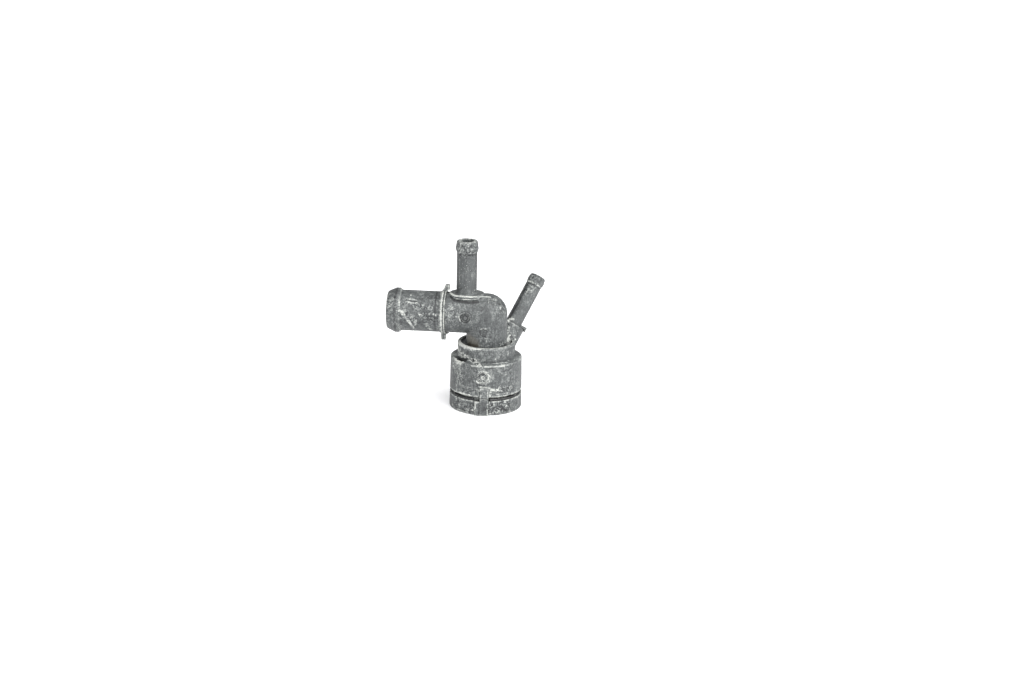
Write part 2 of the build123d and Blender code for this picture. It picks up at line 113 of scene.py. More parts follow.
# Where dried coolant lies, and where shade and highlights are painted: a run of points in mm, how wide
# round it in mm, how mottled it makes the plastic, and how much lighter (or, below zero, darker)
residueAndPaintedLightMarks = [
    # the level tube and its bead
    ([(-76, -8, 76), (-58, -14, 76)], 15, 0.15, 0.05),
    ([(-74, -6, 86), (-74, -15, 80)], 7, 0.20, 0.05),
    ([(-71.4, -11.4, 88.2)], 1.4, 0.10, -0.24),
    ([(-59.2, -7.2, 89.2)], 0.9, 0.10, 0.60),
    ([(-62.3, -10.1, 87.2), (-59.4, -10.8, 86.7), (-54.5, -11.2, 86.3)], 0.8, 0.30, 0.26),
    ([(-62, -11.3, 86.2), (-54.3, -12, 85.4)], 0.8, 0.20, -0.20),
    ([(-62, -12.2, 85.2), (-58.4, -12.6, 84.7), (-54.3, -12.7, 84.6)], 0.8, 0.30, 0.22),
    ([(-66.9, -15.6, 78.6), (-62.7, -16, 74.6), (-58.8, -14.7, 68.7), (-56.6, -11.8, 64.2)], 1.5, 0.60, 0.34),
    ([(-68, -15.3, 76.3), (-64.3, -15.8, 72.6), (-60.6, -14.1, 67.1)], 1.1, 0.10, -0.16),
    ([(-61, -15.9, 76), (-57.2, -14.9, 69.8), (-54.6, -12.3, 64.9)], 1.1, 0.10, -0.16),
    ([(-64, -15.8, 80), (-60.3, -15.7, 76.9), (-56, -15.5, 71)], 2.8, 0.45, 0.08),
    ([(-54, -15.6, 71.3), (-54.9, -13.3, 66.1)], 1.1, 0.30, 0.18),
    ([(-65.8, -15, 69.3), (-61.6, -13.1, 66.8)], 3.4, 0.0, -0.14),
    ([(-52.1, -15.5, 70.9), (-47.5, -14.1, 67.5)], 3.2, 0.0, -0.13),
    ([(-51.6, -15.8, 77.2), (-50.5, -16, 74.7), (-47.5, -15.8, 77.4), (-45.2, -16, 75.7),
      (-41.9, -15.6, 78.2), (-38.8, -15.9, 76.5)], 1.2, 0.80, 0.26),
    ([(-46, -15.9, 74), (-40.5, -15.8, 73)], 2.6, 0.80, -0.03),
    ([(-46.6, -14.7, 68.7), (-43, -10.5, 62.9)], 2.2, 0.60, 0.17),
    ([(-53.4, -9.1, 88.1), (-37.8, -8.3, 88.5)], 3.2, 0.10, -0.09),
    ([(-54.3, -14.2, 82.2), (-42.5, -14.5, 81.6)], 2.8, 0.60, 0.08),
    ([(-39.1, -10.4, 87)], 2.6, 0.30, -0.10),
    # the collar and the foot of the upright
    ([(-33, -15.8, 77), (-24, -15.5, 71)], 7.0, 0.30, 0.04),
    ([(-27.7, -13.9, 82.9), (-23.7, -14.8, 80.9)], 2.4, 0.40, 0.13),
    ([(-20.2, -15.5, 78.8), (-20.5, -16, 75.7), (-19.1, -16.3, 72.3)], 0.9, 0.30, 0.24),
    ([(-15.7, -15.5, 74.9)], 6.2, 0.0, -0.24),
    # the top spigot and the block under it
    ([(-16.4, -5, 132), (-16.4, -5, 127)], 9.5, 0.65, 0.04),
    ([(-16.4, 0, 119), (-16.4, 0, 98)], 12, -0.50, -0.05),
    # painted shade: the top spigot darker down its left and right sides
    ([(-24, -4, 122), (-24, -4, 96)], 4.6, 0.10, -0.10),
    ([(-9, -2.9, 122), (-8.7, -2.2, 98)], 1.4, 0.20, -0.16),
    ([(-21.6, -6.1, 120), (-21.6, -6.1, 97)], 0.9, 0.30, 0.16),
    ([(-21, -6, 96), (-8.8, -2.4, 94)], 3.0, 0.80, 0.0),
    # the block's plate: painted highlights on its edges, a painted line of shade on its side,
    # and a painted shadow under it
    ([(-30, 0.7, 91), (-28.4, -4, 91.2), (-26.3, -7.4, 91.1), (-23.4, -10, 90.9), (-11, -10.6, 91),
      (-5.5, -9.2, 90.9), (-2.2, -5.6, 90.2), (2.5, -5, 89.9)], 1.0, 0.20, 0.46),
    ([(-24, -10.4, 89.6), (-12, -11.1, 89.9), (-6, -9.9, 89.9)], 0.7, 0.10, -0.30),
    ([(-23.5, -10.2, 88.6), (-12.5, -11, 88.8)], 0.7, 0.20, 0.20),
    ([(-28, -7, 89.4), (-25, -10.4, 86.9), (-12.4, -11.4, 86.1), (-6.3, -10.5, 86.9)], 1.3, 0.10, -0.45),
    # the elbow and its foot
    # painted highlight down the front of the elbow
    ([(3.3, -12.2, 84.6), (5.4, -13.9, 80.4), (6.3, -14.5, 76.5)], 2.6, 0.0, 0.14),
    ([(9, -10.3, 83.1), (7.7, -13.1, 79.4)], 1.4, 0.10, 0.12),
    ([(4, -14, 84), (5, -15, 72)], 7.0, -0.15, -0.03),
    ([(9.8, -6.8, 85.4), (12, -8.4, 81.1)], 1.7, 0.90, 0.0),
    ([(1.4, -6, 89.6), (7.3, -6, 88.3)], 2.0, 0.20, 0.06),
    ([(13, -3, 87), (17, -3, 76)], 3.0, 0.10, -0.10),
    ([(-3.4, -15.6, 66.5), (-1.1, -15.9, 67.2), (1, -15.9, 67)], 0.8, 0.60, 0.20),
    ([(-1.2, -16, 57.3)], 1.1, 0.10, -0.20),
    ([(5, -9, 80), (2, -14, 60)], 12, 0.0, -0.03),
    ([(-6, -13, 64), (4, -15, 60)], 6, 0.20, 0.0),
    # the crotch between the elbow and the side spigot
    ([(16.8, 15.5, 67), (19.9, 14.6, 66.8)], 1.3, 0.60, 0.46),
    ([(16.4, 11.4, 66.2), (16.8, 8.6, 62.9), (16.9, 6.8, 59.3)], 1.3, 0.70, 0.22),
    ([(17.3, 5.4, 55.8), (16.8, 4.4, 53.2), (16.6, 1, 50.6)], 1.7, 1.20, 0.34),
    ([(14, 4, 66), (18, 4, 53)], 4.2, 0.80, 0.02),
    ([(12, -10, 53.5), (18, 2, 54)], 2.6, 0.90, 0.06),
    ([(22.1, 8, 52.6)], 1.3, 0.60, 0.34),
    ([(20.3, 9.6, 64.4), (21.5, 7.4, 54.4)], 1.4, 0.40, 0.16),
    # the side spigot
    ([(20, 20, 63), (33, 33, 88)], 9.5, -0.30, 0.0),
    # painted shade down the side spigot's left side here and its right side two lines on, with a pale line
    # between
    ([(13.5, 13.5, 64), (28, 28.5, 92)], 2.6, 0.50, -0.26),
    ([(17.5, 12, 64), (29.5, 25, 88)], 0.9, 0.30, 0.16),
    ([(28.6, 18.5, 63), (37.5, 28, 83)], 2.4, 0.20, -0.16),
    ([(36, 32, 98), (31, 27, 90)], 7.0, 0.45, 0.03),
    # painted shadow beside the peg at the side spigot's root
    ([(26, 16, 58), (28, 18, 58)], 2.2, 0.30, -0.28),
    # the neck and the shoulder
    ([(0, -17, 46)], 15, 0.10, 0.04),
    ([(-22.3, -2, 52), (-18.2, -13, 51.8), (-12.6, -18.7, 51.8), (-7.5, -21.4, 52.2)], 2.1, 0.30, 0.48),
    ([(-9, -20.6, 52.4), (-2.6, -22.5, 52.4)], 1.2, 0.20, 0.30),
    ([(-1.5, -21.3, 52.6), (7.6, -19.4, 52.6), (16.5, -13, 52.6)], 1.3, 0.40, 0.15),
    # painted shade in the left of the moat round the upright
    ([(-14, -3, 50.6), (-12, -10.5, 52.3), (-5.7, -15, 52.2)], 1.5, 0.10, -0.30),
    ([(-21, -7, 48.5), (-16.9, -15, 45.5), (-10.9, -19.9, 43.6), (-5.8, -23.7, 41.8), (-1.2, -27.6, 40.5)],
     2.7, 1.60, 0.16),
    ([(-21.2, -8, 42.8), (-15.6, -16.5, 43.3)], 1.4, 0.20, 0.26),
    # painted shade on the left front of the shoulder, next to the neck
    ([(-21.9, -11.8, 41.4), (-18.4, -15.6, 41.3), (-14.8, -19.8, 41.4)], 2.2, 0.10, -0.55),
    ([(-24.9, -9.8, 41), (-21.2, -16.8, 41), (-15.3, -22.5, 40.9)], 1.3, 0.40, 0.36),
    ([(-9, -26.6, 39.8), (-2.4, -28, 39.9), (4, -27.8, 39.9), (9.6, -26.4, 39.9), (14.5, -24.1, 39.9),
      (18.6, -21.1, 39.9)], 0.8, 0.10, 0.26),
    ([(3.7, -25.4, 41.4), (11.3, -22.8, 41.5), (18.3, -18.1, 41.4)], 0.9, 0.10, 0.20),
    ([(26, -8, 41), (27.7, -1, 40.7)], 3.2, 0.20, 0.15),
    ([(-27.3, 1, 40.9), (-24.9, -6, 41.3)], 2.8, 0.30, 0.17),
    # painted shade in the crease at the foot of the neck
    ([(-1.1, -23.7, 42.1), (8.1, -22.1, 42.1), (17, -16.9, 42)], 0.9, 0.20, -0.16),
    ([(-4.5, -22.3, 46.7), (6.4, -21.7, 45.5)], 2.8, -0.10, -0.05),
    ([(18.2, -13.5, 48.3), (19.3, -15.6, 41.7)], 1.1, 0.50, 0.18),
    ([(21.9, -5.9, 47.8), (23.2, -11.3, 41.3)], 1.1, 0.50, 0.16),
    ([(9.1, -20.8, 44.5)], 0.8, 0.0, 0.45),
    # the socket above the groove
    ([(-22, -17, 36), (-19, -20, 28)], 6.5, 0.60, 0.13),
    ([(17, -22, 36), (24, -15, 28)], 8.0, 0.20, 0.04),
    ([(0, -28, 31)], 10.0, 0.50, 0.13),
    ([(4.3, -27.7, 33.5), (4.6, -27.6, 27.9)], 0.8, 0.20, 0.26),
    ([(-2.3, -28.1, 35.5), (1, -28.1, 36.2), (4.1, -27.9, 35.1)], 1.0, 0.20, 0.18),
    ([(-3.2, -28.1, 26.8), (1.9, -27.8, 27.3), (4.1, -27.8, 30.1)], 0.9, 0.20, 0.28),
    ([(-3.9, -27.9, 24.9), (0.8, -28.3, 25)], 1.2, 0.20, -0.22),
    ([(-1.5, -28.8, 23), (4.3, -28, 23), (7.7, -26.9, 21), (11.8, -25.4, 20.7), (12.9, -25.1, 22.5)],
     1.3, 0.40, 0.46),
    ([(5.9, -27.3, 19.4), (5.9, -27.4, 16.5)], 1.5, 0.60, 0.26),
    ([(11, -26, 21), (22, -18, 20.5)], 3.0, 1.0, 0.05),
    ([(11.2, -25.6, 17.1), (20.1, -19.5, 17.1)], 1.0, 0.60, 0.22),
    ([(-20.4, -19.2, 15.9), (-14.8, -23.8, 15.9), (-9, -26.6, 15.9)], 0.9, 0.50, 0.22),
    ([(-14, -24, 19), (-4, -28, 19)], 4.0, 0.50, 0.03),
    # the band under the groove
    ([(5.1, -25.6, 11.6), (12.7, -22.9, 11.5), (20.7, -17.4, 11.5)], 0.9, 0.10, 0.28),
    ([(-22, -17, 5), (-8, -27, 5)], 5.5, 0.60, 0.02),
    ([(-24.8, -14.1, 3)], 1.5, 0.30, 0.26),
    ([(-12.1, -25.5, 3.5), (-7.2, -27.2, 3.9)], 1.2, 1.0, 0.18),
    ([(6.8, -27.2, 6), (18.1, -21.4, 6)], 6.0, 1.10, -0.19),
    ([(17.4, -22.1, 9.6), (18.5, -21, 6.8)], 1.5, 0.50, 0.36),
    ([(8.5, -26.9, 2.5), (15.3, -23.7, 3)], 1.2, 0.60, 0.16),
    ([(1.4, -29.5, 9), (1.4, -29.5, 3)], 3.0, -0.10, -0.09),
    ([(1.4, -29.5, 20), (1.4, -29.5, 14)], 2.6, 0.0, 0.05),
    ([(-4, -29, 20), (-4, -29, 12)], 2.4, 0.20, 0.12),
    ([(10, -26, 34), (15, -24, 26)], 8.0, 0.0, 0.06),
    ([(-6.2, -29, 21), (-2.1, -29.6, 23), (4.7, -29.6, 23)], 1.2, 0.0, -0.24),
    ([(-2.1, -29.6, 22), (-2.1, -29.6, 1)], 1.0, 0.0, -0.20),
    ([(-6.2, -29, 20), (-6.2, -29, 1)], 1.2, 0.0, -0.16),
    # painted highlight at the right end of the slot
    ([(27.7, -5, 15.8)], 1.0, 0.0, 0.60),
    ([(-5.5, -29.6, 11.4), (-5, -29.6, 3.2)], 1.2, 0.60, 0.10),
    ([(24.5, -12, 7)], 4.5, 0.20, -0.05),
    # the back
    ([(-10, 25, 30), (12, 24, 24)], 9.0, 0.50, 0.04),
    ([(-50, 14, 78), (-66, 12, 70)], 8.0, 0.50, 0.05),
    ([(-4, 16, 60), (-10, 20, 50)], 6.0, 0.60, 0.05),
    ([(-26, 14, 84), (-14, 15, 66)], 6.0, 0.50, 0.04),
    ([(20, 20, 38), (26, 8, 32)], 5.0, 0.60, 0.08),
    ([(-24, 13, 10), (-8, 27, 6)], 5.0, 0.80, 0.06),
]

# Lines of residue, and lines of painted shade and highlight, right round a form: a point on its axis
# and that axis, the line's radius, how wide it is in mm, how mottled, and how much lighter or darker
sideAxis = (0.4182, 0.4182, 0.8063)
residueAndPaintedLightRings = [
    ((-70.8, 0, 74.9), (1, 0, 0), 17.0, 1.2, 0.20, -0.20),
    ((-67.7, 0, 74.9), (1, 0, 0), 16.5, 1.1, 0.20, 0.24),
    ((-39.4, 0, 74.9), (1, 0, 0), 16.2, 1.0, 0.10, -0.30),
    ((-38.4, 0, 74.9), (1, 0, 0), 16.8, 0.7, 0.0, 0.36),
    ((-34.4, 0, 74.9), (1, 0, 0), 16.7, 1.1, 0.0, 0.52),
    # painted shadow on the tube at the collar's right side
    ((-33.0, 0, 74.9), (1, 0, 0), 16.2, 1.2, 0.10, -0.40),
    ((-15.7, -15.6, 74.9), (0, -1, 0), 4.5, 1.2, 0.0, -0.26),
    ((-1.2, -16, 57.3), (0, -1, 0), 2.4, 0.8, 0.20, 0.16),
    ((-1.2, -16, 63.6), (0, -1, 0), 2.7, 0.8, 0.60, -0.14),
    ((0, -27.8, 30.8), (0, -1, 0), 3.3, 0.9, 0.60, -0.30),
    ((0, -27.8, 30.8), (0, -1, 0), 5.4, 1.0, 0.40, 0.12),
    # painted shade under the top spigot's barb
    ((-16.4, 0, 123.2), (0, 0, 1), 8.0, 1.0, 0.60, -0.26),
    ((-16.4, 0, 124.6), (0, 0, 1), 8.6, 0.9, 0.40, 0.18),
    # painted highlight on the side spigot's barb ridge, and painted shadow under it
    ((34.2, 34.2, 90.7), sideAxis, 6.5, 0.9, 0.30, 0.24),
    ((33.6, 33.6, 89.5), sideAxis, 6.4, 0.8, 0.20, -0.22),
    ((36.9, 36.9, 95.9), sideAxis, 6.5, 0.8, 0.20, -0.20),
]


# The stretches of the moulding, as boxes in mm. Each is painted with the marks and lines that reach it,
# because all of them are too many for one material. A mark is at full strength within markCore of its
# width, and is painted on each stretch that lies within markReach of its width
markCore, markReach = 0.45, 0.8
stretches = {
    "Socket": ((-99, -99, -9), (99, 99, 42)),
    "Neck": ((-99, -99, 42), (99, 99, 53)),
    "Tube": ((-99, -99, 53), (-34, 99, 199)),
    "TopSpigot": ((-34, -99, 91.6), (0, 99, 199)),
    "Elbow": ((-34, -99, 53), (99, 99, 199)),
}


def reaches(points, width, box):
    # whether any of the points comes within the width of the box
    return any(all(low - width < place < high + width for place, low, high in zip(point, *box))
               for point in points)


def residueAndPaintedLightAt(tree, point, run, width):
    # 1 along the mark's run of points, and softly 0 at its width
    masks = []
    for start, end in zip(run, run[1:] or run):
        begin, reach = Vector(start) * mm, (Vector(end) - Vector(start)) * mm
        along = addNode(tree, "ShaderNodeVectorMath", {0: point, 1: begin}, operation="SUBTRACT")
        nearest = begin
        if reach.length:
            share = addNode(tree, "ShaderNodeVectorMath", {0: along, 1: reach / reach.length_squared},
                            operation="DOT_PRODUCT")
            held = addNode(tree, "ShaderNodeMath", {0: share, 1: 1.0}, operation="MULTIPLY", use_clamp=True)
            step = addNode(tree, "ShaderNodeVectorMath", {0: reach, "Scale": held}, operation="SCALE")
            nearest = addNode(tree, "ShaderNodeVectorMath", {0: step, 1: begin})
        away = addNode(tree, "ShaderNodeVectorMath", {0: point, 1: nearest}, operation="DISTANCE")
        masks.append(addNode(tree, "ShaderNodeMapRange", {
            "Value": away, "From Min": width * mm, "From Max": markCore * width * mm},
            interpolation_type="SMOOTHSTEP"))
    whole = masks[0]
    for mask in masks[1:]:
        whole = addNode(tree, "ShaderNodeMath", {0: whole, 1: mask}, operation="MAXIMUM")
    return whole


def ringAt(tree, point, centre, axis, radius, width):
    # 1 along a circle round the axis, and softly 0 at its width
    axis = Vector(axis).normalized()
    off = addNode(tree, "ShaderNodeVectorMath", {0: point, 1: Vector(centre) * mm}, operation="SUBTRACT")
    along = addNode(tree, "ShaderNodeVectorMath", {0: off, 1: axis}, operation="DOT_PRODUCT")
    onAxis = addNode(tree, "ShaderNodeVectorMath", {0: axis, "Scale": along}, operation="SCALE")
    away = addNode(tree, "ShaderNodeVectorMath", {0: off, 1: onAxis}, operation="DISTANCE")
    beside = addNode(tree, "ShaderNodeMath", {0: away, 1: radius * mm}, operation="SUBTRACT")
    both = addNode(tree, "ShaderNodeCombineXYZ", {0: beside, 1: along})
    span = addNode(tree, "ShaderNodeVectorMath", {0: both}, operation="LENGTH")
    return addNode(tree, "ShaderNodeMapRange", {
        "Value": span, "From Min": width * mm, "From Max": markCore * width * mm},
        interpolation_type="SMOOTHSTEP")


# Body plastic: polyamide 66 with glass fibre, injection moulded and then used. The eye gets a dull
# dark grey with a fine fibre grain, chalky edges, painted shade in the corners and hollows, and dried
# coolant as a crust of light and dark specks.
bodyFinish = {
    "tones": [(0.0, "#101213"), (0.28, "#2C2E2F"), (0.5, "#4B4E4E"), (0.74, "#7C7F7D"), (1.0, "#B4B6B1")],
    "baseTone": 0.35, "cloudTone": 0.07, "baseContrast": 0.47, "cloudContrast": 0.4, "speckAmount": 1.1,
    "curlAmount": 0.11, "curlTurns": 24, "streakAmount": 0.26, "brokenLeast": 0.45,
    "edgeLift": 0.42, "edgeFrom": 0.96, "edgeFull": 0.6,
    # painted shade in corners and hollows: its colour, strength, and the occlusion where it starts and is
    # full
    "cornerShade": "#101110", "cornerShadeAmount": 0.8, "cornerShadeFrom": 0.78, "cornerShadeFull": 0.42,
    "olive": "#625B4A", "oliveAmount": 0.35, "oliveRun": [(-13, -11, 55), (-9, -14, 53)],
    "ior": 1.53, "roughness": 0.5, "chalkRoughness": 0.85, "fibreRelief": 0.10, "toneRelief": 0.55,
    # lengths in mm
    "cloudSize": 14.0, "mottleSize": 2.8, "speckSize": 1.2, "curlSize": 5.0, "streakWidth": 1.1,
    "streakLength": 12.0, "fibreSize": 0.35, "shakeSize": 3.5714, "wobble": 2.2, "fineWobble": 1.1,
    "fineWidth": 1.6, "edgeWidth": 0.6, "edgeReach": 1.9, "cornerReach": 2.6, "oliveWidth": 7, "relief": 0.3,
}


def makeBodyPlastic(finish, stretch):
    material, tree = newMaterial("mouldedGlassFilledPolyamide" + stretch)
    point = addNode(tree, "ShaderNodeTexCoord").outputs["Object"]
    cloud = addNode(tree, "ShaderNodeTexNoise", {
        "Vector": point, "Scale": 1000 / finish["cloudSize"], "Detail": 3.0})
    mottle = addNode(tree, "ShaderNodeTexNoise", {
        "Vector": point, "Scale": 1000 / finish["mottleSize"], "Detail": 5.0, "Roughness": 0.65,
        "Distortion": 0.5})
    speck = addNode(tree, "ShaderNodeTexNoise", {
        "Vector": point, "Scale": 1000 / finish["speckSize"], "Detail": 2.0, "Roughness": 0.6})
    fibre = addNode(tree, "ShaderNodeTexNoise", {
        "Vector": point, "Scale": 1000 / finish["fibreSize"], "Detail": 2.0})
    curl = addNode(tree, "ShaderNodeTexNoise", {
        "Vector": point, "Scale": 1000 / finish["curlSize"], "Detail": 2.0, "Distortion": 1.0})
    turned = addNode(tree, "ShaderNodeMath", {0: curl, 1: finish["curlTurns"]}, operation="MULTIPLY")
    curls = addNode(tree, "ShaderNodeMath", {0: turned}, operation="SINE")
    drawn = addNode(tree, "ShaderNodeMapping", {
        "Vector": point, "Scale": (1, 1, finish["streakWidth"] / finish["streakLength"])})
    streak = addNode(tree, "ShaderNodeTexNoise", {
        "Vector": drawn, "Scale": 1000 / finish["streakWidth"], "Detail": 2.0})

    # the marks' edges wander, because the place that they are measured at is shaken by noise
    noise = addNode(tree, "ShaderNodeTexNoise", {
        "Vector": point, "Scale": 1000 / finish["shakeSize"], "Detail": 3.0}).outputs["Color"]
    shake = addNode(tree, "ShaderNodeVectorMath", {0: noise, 1: (0.5, 0.5, 0.5)}, operation="SUBTRACT")
    shaken, steady = (addNode(tree, "ShaderNodeVectorMath", {
        0: shake, 1: [finish[amount] * mm] * 3, 2: point}, operation="MULTIPLY_ADD")
        for amount in ("wobble", "fineWobble"))

    tone = addNode(tree, "ShaderNodeMapRange", {
        "Value": cloud, "From Min": 0.3, "From Max": 0.7, "To Min": finish["baseTone"] - finish["cloudTone"],
        "To Max": finish["baseTone"] + finish["cloudTone"]})
    contrast = addNode(tree, "ShaderNodeMapRange", {
        "Value": cloud, "From Min": 0.5, "From Max": 0.75, "To Min": finish["baseContrast"],
        "To Max": finish["baseContrast"] + finish["cloudContrast"]})
    box = stretches[stretch]
    for run, width, blotch, lift in residueAndPaintedLightMarks:
        if reaches(run, markReach * width, box):
            mask = residueAndPaintedLightAt(tree, steady if width < finish["fineWidth"] else shaken, run, width)
            contrast = addNode(tree, "ShaderNodeMath", {0: mask, 1: blotch, 2: contrast},
                               operation="MULTIPLY_ADD")
            tone = addNode(tree, "ShaderNodeMath", {0: mask, 1: lift, 2: tone}, operation="MULTIPLY_ADD")

    # lines round a form come and go along their length, and so does the chalk on the edges
    broken = addNode(tree, "ShaderNodeMapRange", {
        "Value": mottle, "From Min": 0.36, "From Max": 0.56, "To Min": finish["brokenLeast"]})
    for centre, axis, radius, width, blotch, lift in residueAndPaintedLightRings:
        if reaches([centre], radius, box):
            line = ringAt(tree, steady, centre, axis, radius, width)
            mask = addNode(tree, "ShaderNodeMath", {0: line, 1: broken}, operation="MULTIPLY")
            contrast = addNode(tree, "ShaderNodeMath", {0: mask, 1: blotch, 2: contrast},
                               operation="MULTIPLY_ADD")
            tone = addNode(tree, "ShaderNodeMath", {0: mask, 1: lift, 2: tone}, operation="MULTIPLY_ADD")

    # light and dark specks, as strong as the residue is thick
    both = addNode(tree, "ShaderNodeMath", {0: mottle, 1: speck})
    centred = addNode(tree, "ShaderNodeMath", {0: both, 1: 1.0}, operation="SUBTRACT")
    centred = addNode(tree, "ShaderNodeMath", {0: curls, 1: finish["curlAmount"], 2: centred},
                      operation="MULTIPLY_ADD")
    tone = addNode(tree, "ShaderNodeMath", {0: streak, 1: finish["streakAmount"], 2: tone},
                   operation="MULTIPLY_ADD")
    swing = addNode(tree, "ShaderNodeMath", {0: contrast, 1: finish["speckAmount"]}, operation="MULTIPLY")
    tone = addNode(tree, "ShaderNodeMath", {0: centred, 1: swing, 2: tone}, operation="MULTIPLY_ADD")

    # thin and outer edges are chalky, and corners and hollows get painted shade
    rounded = addNode(tree, "ShaderNodeBevel", {"Radius": finish["edgeWidth"] * mm}, samples=6)
    within = addNode(tree, "ShaderNodeAmbientOcclusion", {"Distance": finish["edgeReach"] * mm}, samples=8,
                     inside=True, only_local=True).outputs["AO"]
    edge = addNode(tree, "ShaderNodeMapRange", {
        "Value": within, "From Min": finish["edgeFrom"], "From Max": finish["edgeFull"],
        "To Max": finish["edgeLift"]})
    tone = addNode(tree, "ShaderNodeMath", {0: edge, 1: broken, 2: tone}, operation="MULTIPLY_ADD")
    around = addNode(tree, "ShaderNodeAmbientOcclusion", {"Distance": finish["cornerReach"] * mm}, samples=8,
                     only_local=True).outputs["AO"]
    # painted shade: the less open the surface is round a point, the darker
    cornerShade = addNode(tree, "ShaderNodeMapRange", {
        "Value": around, "From Min": finish["cornerShadeFrom"], "From Max": finish["cornerShadeFull"],
        "To Max": finish["cornerShadeAmount"]})

    ramp = addNode(tree, "ShaderNodeValToRGB", {"Fac": tone})
    for _ in finish["tones"][2:]:
        ramp.color_ramp.elements.new(0.5)
    for element, (place, colour) in zip(ramp.color_ramp.elements, finish["tones"]):
        element.position, element.color = place, linear(colour)
    stain = residueAndPaintedLightAt(tree, shaken, finish["oliveRun"], finish["oliveWidth"])
    olive = addNode(tree, "ShaderNodeMath", {0: stain, 1: finish["oliveAmount"]}, operation="MULTIPLY")
    colour = addNode(tree, "ShaderNodeMix", {0: olive, 6: ramp, 7: linear(finish["olive"])}, data_type="RGBA")
    colour = addNode(tree, "ShaderNodeMix", {0: cornerShade, 6: colour, 7: linear(finish["cornerShade"])}, data_type="RGBA")

    grain = addNode(tree, "ShaderNodeMath", {0: fibre, 1: finish["fibreRelief"]}, operation="MULTIPLY")
    height = addNode(tree, "ShaderNodeMath", {0: tone, 1: finish["toneRelief"], 2: grain},
                     operation="MULTIPLY_ADD")
    bump = addNode(tree, "ShaderNodeBump", {
        "Strength": 0.5, "Distance": finish["relief"] * mm, "Height": height, "Normal": rounded})
    rough = addNode(tree, "ShaderNodeMapRange", {
        "Value": tone, "From Min": 0.35, "From Max": 0.85, "To Min": finish["roughness"],
        "To Max": finish["chalkRoughness"]})
    finishMaterial(tree, {"Base Color": colour, "IOR": finish["ior"], "Normal": bump, "Roughness": rough})
    return material


# Wire: spring steel, cold drawn and blackened by hot coolant. The eye gets a near black with fine lines
# along it and dull specks.
wireFinish = {"steel": "#454646", "stain": "#1D1C1B", "metallic": 1.0, "roughness": 0.42,
              "stainRoughness": 0.75, "lineWidth": 0.12, "lineReach": 16.6667, "stainSize": 2.4,
              "relief": 0.04}  # mm


def makeWireSteel(finish):
    material, tree = newMaterial("drawnSpringSteel")
    point = addNode(tree, "ShaderNodeTexCoord").outputs["Object"]
    stain = addNode(tree, "ShaderNodeTexNoise", {
        "Vector": point, "Scale": 1000 / finish["stainSize"], "Detail": 6.0, "Roughness": 0.7})
    along, across = 1000 / finish["lineReach"], 1000 / finish["lineWidth"]
    drawn = addNode(tree, "ShaderNodeMapping", {"Vector": point, "Scale": (along, along, across)})
    lines = addNode(tree, "ShaderNodeTexNoise", {"Vector": drawn, "Scale": 1.0, "Detail": 2.0})
    amount = addNode(tree, "ShaderNodeMapRange", {"Value": stain, "From Min": 0.52, "From Max": 0.66})
    colour = addNode(tree, "ShaderNodeMix", {
        0: amount, 6: linear(finish["steel"]), 7: linear(finish["stain"])}, data_type="RGBA")
    rough = addNode(tree, "ShaderNodeMapRange", {
        "Value": amount, "To Min": finish["roughness"], "To Max": finish["stainRoughness"]})
    bump = addNode(tree, "ShaderNodeBump", {
        "Strength": 0.4, "Distance": finish["relief"] * mm, "Height": lines})
    finishMaterial(tree, {"Base Color": colour, "Metallic": finish["metallic"], "Roughness": rough,
                          "Normal": bump})
    return material


# Seal: EPDM rubber, compression moulded. The eye gets a soft black with a faint grey bloom.
rubberFinish = {"rubber": "#181819", "bloom": "#353638", "roughness": 0.62, "ior": 1.52,
                "bloomSize": 6.0, "grainSize": 0.3, "relief": 0.05}  # mm


def makeSealRubber(finish):
    material, tree = newMaterial("mouldedEpdmRubber")
    point = addNode(tree, "ShaderNodeTexCoord").outputs["Object"]
    bloom = addNode(tree, "ShaderNodeTexNoise", {
        "Vector": point, "Scale": 1000 / finish["bloomSize"], "Detail": 5.0})
    grain = addNode(tree, "ShaderNodeTexNoise", {
        "Vector": point, "Scale": 1000 / finish["grainSize"], "Detail": 2.0})
    amount = addNode(tree, "ShaderNodeMapRange", {"Value": bloom, "From Min": 0.45, "From Max": 0.7})
    colour = addNode(tree, "ShaderNodeMix", {
        0: amount, 6: linear(finish["rubber"]), 7: linear(finish["bloom"])}, data_type="RGBA")
    bump = addNode(tree, "ShaderNodeBump", {
        "Strength": 0.3, "Distance": finish["relief"] * mm, "Height": grain})
    finishMaterial(tree, {"Base Color": colour, "Roughness": finish["roughness"], "IOR": finish["ior"],
                          "Normal": bump})
    return material


# Crust: lime and silicate salts left by dried coolant. The eye gets matt grey-white grains.
crustFinish = {"pale": "#9A9C98", "dull": "#6A6D6B", "roughness": 0.9, "ior": 1.5,
               "patchSize": 1.4, "relief": 0.1}  # mm


def makeDriedCoolant(finish):
    material, tree = newMaterial("driedCoolantSalts")
    point = addNode(tree, "ShaderNodeTexCoord").outputs["Object"]
    patches = addNode(tree, "ShaderNodeTexNoise", {
        "Vector": point, "Scale": 1000 / finish["patchSize"], "Detail": 4.0, "Roughness": 0.7})
    amount = addNode(tree, "ShaderNodeMapRange", {"Value": patches, "From Min": 0.36, "From Max": 0.62})
    colour = addNode(tree, "ShaderNodeMix", {
        0: amount, 6: linear(finish["dull"]), 7: linear(finish["pale"])}, data_type="RGBA")
    bump = addNode(tree, "ShaderNodeBump", {
        "Strength": 0.6, "Distance": finish["relief"] * mm, "Height": patches})
    finishMaterial(tree, {"Base Color": colour, "Roughness": finish["roughness"], "IOR": finish["ior"],
                          "Normal": bump})
    return material


